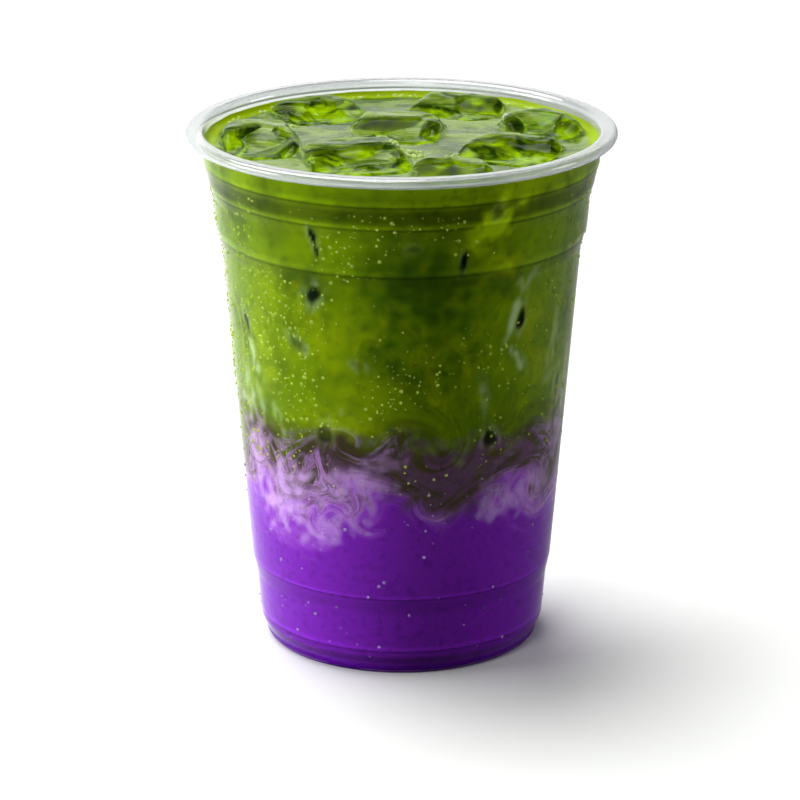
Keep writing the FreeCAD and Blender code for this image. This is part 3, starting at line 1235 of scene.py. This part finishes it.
def makeMatcha():
    rings = [mixRingAt(share) for share in reversed(milkRings["mix"])]
    wallFrom = len(rings)
    top = surface["level"] + wallRise
    level, count = milkRings["lowWall"]
    for share in np.linspace(0, 1, count)[:-1]:
        heights = wallMix + share * (level - wallMix)
        rings.append((insideRadius(heights), heights))
    rings += [(np.full(around, insideRadius(height)), height) for height in upperWallHeights(top)]
    wallTo = len(rings)
    edge = insideRadius(top)
    start, step, end = milkRings["surfaceStep"]
    for inward in milkRings["surface"] + list(np.arange(start, edge - end, step)):
        radius = edge - inward
        x, y = columnXY(radius)
        rise = wallRise * max(0, 1 - (inward - section["intoWall"]) / surface["wallWidth"]) ** 2
        rings.append((np.full(around, radius), surfaceHeight(x, y) + rise))
    poles = (mixHeight(0, 0), float(surfaceHeight(np.array(0.0), np.array(0.0))))
    mesh = ringMesh("matchaMilk", rings, poles)
    mesh.set_sharp_from_angle(angle=cupLook["sharp"])
    onWall, bare = np.zeros(len(mesh.vertices)), np.zeros(len(mesh.vertices))
    onWall[wallFrom * around:wallTo * around] = 1
    bare[wallTo * around:len(rings) * around] = 1
    bare[-1] = 1
    x, y, _ = pointsOf(mesh).T
    window, shade = (readGrid(gridLine, field, x, y) for field in (iceWindow, iceShade))
    dressMilk(mesh, onWall, bare, window, shade)
    # painted light: a bright band where the thin edge of the drink is lit through the wall
    share, inner, outer = milkRings["thinEdge"]
    writeField(mesh, "thin", share * bare * softStep(np.hypot(x, y), edge - inner, edge - outer))
    print("matcha faces", len(mesh.polygons))
    newPiece("matchaMilk", mesh, matchaMilk, "matcha_milk", "matcha_milk")


makeMatcha()
print("matcha layer made")

drops = {
    "seed": 5,
    "density": 380000.0,  # per square metre of wall, where they are thickest
    "size": (0.14 * mm, 0.44 * mm),
    "heights": (3.0 * mm, 112 * mm),
    "low": (35 * mm, 60 * mm, 0.1),  # fewer up to here, and the share there
    "right": 0.4,  # share on the far right
    "acrossFrom": (38 * mm, -20 * mm),
    "patches": (62, -0.35, 0.3),  # noise per metre, from and to
    "rows": 120,
    "columns": 160,
}

bubbles = {
    "seed": 8,
    "density": 2200000.0,
    "size": (0.2 * mm, 0.62 * mm),
    # x, y, reach in mm and share
    "clusters": [
        (0.5, -11, 4.5, 1.0),
        (3.5, -13.5, 2.5, 0.8),
        (-4, -7, 2.2, 0.5),
        (11, -15, 3.0, 0.5),
        (-26, 12, 3.0, 0.4),
    ],
    "clusterCore": 0.4,
    "atBack": (2.6 * mm, 0.35),  # width of the band along the wall, share
    "backCore": 0.4,
    "backFrom": (8 * mm, 26 * mm),
    "fromWall": 0.6 * mm,
    "hole": 0.2 * mm,
    "rings": 90,
    "columns": 240,
}

beadShape = {"around": 8, "rows": 5, "proud": 0.8, "rare": 3.0}


def makeBeadShape():
    # a flattened bead: half of it stands out
    rows, proud = beadShape["rows"], beadShape["proud"]
    tilts = np.arange(1, rows) / rows * math.pi
    rings = list(zip(np.sin(tilts), -proud * np.cos(tilts)))
    return newObject("beadShape", ringMesh("beadShape", rings, (-proud, proud), beadShape["around"]))


def makeScatterTree():
    tree = bpy.data.node_groups.new("scatterBeads", "GeometryNodeTree")
    face = tree.interface
    kinds = {
        "Geometry": "Geometry", "Density": "Float", "Small": "Float", "Large": "Float",
        "Seed": "Int", "Bead": "Object", "Finish": "Material",
    }
    sockets = {}
    for label, kind in kinds.items():
        sockets[label] = face.new_socket(label, in_out="INPUT", socket_type="NodeSocket" + kind)
    face.new_socket("Geometry", in_out="OUTPUT", socket_type="NodeSocketGeometry")
    start = tree.nodes.new("NodeGroupInput")
    end = tree.nodes.new("NodeGroupOutput")
    share = addNode(tree, "GeometryNodeInputNamedAttribute", {"Name": "share"}, data_type="FLOAT")
    wanted = maths(tree, "MULTIPLY", share.outputs[0], start.outputs["Density"])
    scatter = addNode(
        tree,
        "GeometryNodeDistributePointsOnFaces",
        {"Mesh": start.outputs["Geometry"], "Density": wanted, "Seed": start.outputs["Seed"]},
    )
    chance = addNode(tree, "FunctionNodeRandomValue", {"Seed": start.outputs["Seed"]}, data_type="FLOAT")
    rare = maths(tree, "POWER", chance.outputs[1], beadShape["rare"])
    size = addNode(
        tree,
        "ShaderNodeMapRange",
        {"Value": rare, "To Min": start.outputs["Small"], "To Max": start.outputs["Large"]},
    )
    source = addNode(tree, "GeometryNodeObjectInfo", {"Object": start.outputs["Bead"]})
    placed = addNode(
        tree,
        "GeometryNodeInstanceOnPoints",
        {
            "Points": scatter.outputs["Points"],
            "Instance": source.outputs["Geometry"],
            "Rotation": scatter.outputs["Rotation"],
            "Scale": size.outputs[0],
        },
    )
    real = addNode(tree, "GeometryNodeRealizeInstances", {0: placed.outputs[0]})
    finish = {"Geometry": real.outputs[0], "Material": start.outputs["Finish"]}
    dressed = addNode(tree, "GeometryNodeSetMaterial", finish)
    tree.links.new(dressed.outputs[0], end.inputs[0])
    return tree, sockets


def scattered(name, base, look, material, slot):
    # beads over a base mesh, as many as its share attribute asks for
    obj = newObject("base", base)
    modifier = obj.modifiers.new("beads", "NODES")
    modifier.node_group = scatterTree
    values = {
        "Density": look["density"], "Small": look["size"][0], "Large": look["size"][1],
        "Seed": look["seed"], "Bead": beadObject, "Finish": material,
    }
    for label, value in values.items():
        modifier[scatterSockets[label].identifier] = value
    mesh = bpy.data.meshes.new_from_object(obj.evaluated_get(bpy.context.evaluated_depsgraph_get()))
    bpy.data.objects.remove(obj)
    mesh.name = name
    print(name, "faces", len(mesh.polygons))
    newPiece(name, mesh, material, slot)


def gridMesh(name, rows):
    # rows of points round the axis, open at both ends
    columns = len(rows[0])
    faces = []
    for i in range(len(rows) - 1):
        for k in range(columns):
            m = (k + 1) % columns
            faces.append((i * columns + k, i * columns + m, (i + 1) * columns + m, (i + 1) * columns + k))
    mesh = bpy.data.meshes.new(name)
    mesh.from_pydata([p for row in rows for p in row], [], faces)
    mesh.update()
    return mesh


def makeDrops():
    rows = []
    for height in np.linspace(*drops["heights"], drops["rows"]):
        radius = float(outsideRadius(height))
        rows.append([(radius * math.cos(a), radius * math.sin(a), height) for a in angles(drops["columns"])])
    sleeve = gridMesh("sleeve", rows)
    lowFrom, lowTo, lowShare = drops["low"]
    scale, *patchEdge = drops["patches"]
    shares = []
    for v in sleeve.vertices:
        patchy = softStep(noise.noise(v.co * scale), *patchEdge)
        upper = lowShare + (1 - lowShare) * softStep(v.co.z, lowFrom, lowTo)
        leftward = drops["right"] + (1 - drops["right"]) * softStep(v.co.x, *drops["acrossFrom"])
        shares.append(patchy * upper * leftward)
    writeField(sleeve, "share", np.array(shares))
    scattered("waterDrops", sleeve, drops, waterDrop, "ice")


def makeBubbles():
    edge = insideRadius(surface["level"]) - bubbles["fromWall"]
    turn = angles(bubbles["columns"])
    rows = []
    for radius in np.linspace(bubbles["hole"], edge, bubbles["rings"]):
        x, y = radius * np.cos(turn), radius * np.sin(turn)
        rows.append(list(zip(x.tolist(), y.tolist(), surfaceHeight(x, y).tolist())))
    top = gridMesh("drinkTop", rows)
    x, y, _ = pointsOf(top).T
    share = np.zeros(len(x))
    for clusterX, clusterY, reach, much in bubbles["clusters"]:
        away = np.hypot(x - clusterX * mm, y - clusterY * mm)
        share = np.maximum(share, much * softStep(away, reach * mm, bubbles["clusterCore"] * reach * mm))
    width, much = bubbles["atBack"]
    ring = softStep(np.hypot(x, y), edge - width, edge - bubbles["backCore"] * width)
    share = np.maximum(share, much * (ring * softStep(y, *bubbles["backFrom"])))
    share = share * (1 - readGrid(gridLine, iceWindow, x, y))
    writeField(top, "share", share)
    scattered("foamBubbles", top, bubbles, foamBubble, "matcha_milk")


beadObject = makeBeadShape()
scatterTree, scatterSockets = makeScatterTree()
makeDrops()
makeBubbles()
bpy.data.objects.remove(beadObject)

studio = {
    "floorSize": 6,
    "floorSeen": (0.99, 1.0, 0.975, 1),
    "floorToObject": (0.22, 0.22, 0.22, 1),
    "floorLift": 0.02,
    "rightFloor": {"from": 0.0, "to": 0.06, "mirrored": 0.15},  # metres right of the cup's middle
    "worldLight": 0.08,
    "ceiling": {"from": 0.33, "to": 0.50, "mirrored": 0.06},  # height of the direction, brightness
    "rightWall": {"from": 0.0, "to": 0.6, "mirrored": 0.12},
    "sun": {"way": (-0.30, 0.35, 0.89), "energy": 3.4, "angle": math.radians(48)},
    "lampAim": (0, 0, 0.06),
    "lamps": [
        # name, place, size, light on a face turned to it
        ("leftLamp", (-1.05, -0.12, 0.35), 0.7, 0.62),
        ("topLamp", (-0.15, -0.55, 1.1), 0.3, 0.12),
        ("rightLamp", (1.1, 0.05, 0.3), 0.4, 0.14),
    ],
}


def seenDirectly(tree):
    # 1 for what the camera sees, straight, mirrored or through glass; 0 for light on its way to the object
    path = addNode(tree, "ShaderNodeLightPath")
    seen = maths(tree, "MAXIMUM", path.outputs["Is Camera Ray"], path.outputs["Is Glossy Ray"])
    seen = maths(tree, "MAXIMUM", seen, path.outputs["Is Transmission Ray"])
    return maths(tree, "MULTIPLY", seen, maths(tree, "LESS_THAN", path.outputs["Diffuse Depth"], 0.5))


def makeFloor():
    # what is seen is white paper; what it throws back on the cup is dimmer
    mesh = bpy.data.meshes.new("floor")
    size = studio["floorSize"]
    corners = [(-size, -size, 0), (size, -size, 0), (size, size, 0), (-size, size, 0)]
    mesh.from_pydata(corners, [], [(0, 1, 2, 3)])
    material, tree = newMaterial("paper")
    right = studio["rightFloor"]
    across = axisOf(tree, placeOf(tree), "X")
    dimmed = remap(tree, across, right["from"], right["to"], 0, 1 - right["mirrored"])
    glossy = addNode(tree, "ShaderNodeLightPath").outputs["Is Glossy Ray"]
    dimmed = maths(tree, "MULTIPLY", dimmed, glossy)
    seen = maths(tree, "MULTIPLY", seenDirectly(tree), lacking(tree, dimmed))
    shade = mixColour(tree, seen, studio["floorToObject"], studio["floorSeen"])
    matt = addNode(tree, "ShaderNodeBsdfDiffuse", {"Color": shade})
    lift = maths(tree, "MULTIPLY", seen, studio["floorLift"])
    glow = addNode(tree, "ShaderNodeEmission", {"Color": (1, 1, 1, 1), "Strength": lift})
    both = addNode(tree, "ShaderNodeAddShader", {0: matt.outputs[0], 1: glow.outputs[0]})
    addNode(tree, "ShaderNodeOutputMaterial", {"Surface": both.outputs[0]})
    mesh.materials.append(material)
    floor = newObject("floor", mesh)


def makeWorld():
    world = bpy.data.worlds.new("studio")
    bpy.context.scene.world = world
    world.use_nodes = True
    tree = world.node_tree
    tree.nodes.clear()
    # glossy surfaces mirror a pale wall all round and a dark ceiling
    direction = addNode(tree, "ShaderNodeTexCoord").outputs["Generated"]
    mirrored = 1.0
    for axis, part in (("Z", studio["ceiling"]), ("X", studio["rightWall"])):
        along = axisOf(tree, direction, axis)
        dimmed = remap(tree, along, part["from"], part["to"], 1.0, part["mirrored"])
        mirrored = maths(tree, "MULTIPLY", mirrored, dimmed)
    glossy = addNode(tree, "ShaderNodeLightPath").outputs["Is Glossy Ray"]
    shown = maths(tree, "ADD", maths(tree, "MULTIPLY", glossy, mirrored), lacking(tree, glossy))
    seen = seenDirectly(tree)
    dim = maths(tree, "MULTIPLY", lacking(tree, seen), studio["worldLight"])
    strength = maths(tree, "ADD", maths(tree, "MULTIPLY", seen, shown), dim)
    sky = addNode(tree, "ShaderNodeBackground", {"Color": (1, 1, 1, 1), "Strength": strength})
    addNode(tree, "ShaderNodeOutputWorld", {"Surface": sky.outputs[0]})


def makeLamps():
    sun = bpy.data.lights.new("sun", "SUN")
    sun.energy = studio["sun"]["energy"]
    sun.angle = studio["sun"]["angle"]
    aimed("sun", sun, studio["sun"]["way"], (0, 0, 0))
    for name, place, size, light in studio["lamps"]:
        lamp = bpy.data.lights.new(name, "AREA")
        lamp.shape = "DISK"
        lamp.size = size
        distance = (Vector(place) - Vector(studio["lampAim"])).length
        # watts that put this share of full light on a white face
        lamp.energy = light * math.pi ** 2 * distance ** 2
        aimed(name, lamp, place, studio["lampAim"])


makeFloor()
makeWorld()
makeLamps()
bpy.context.scene.view_settings.view_transform = "Standard"
print("studio made")
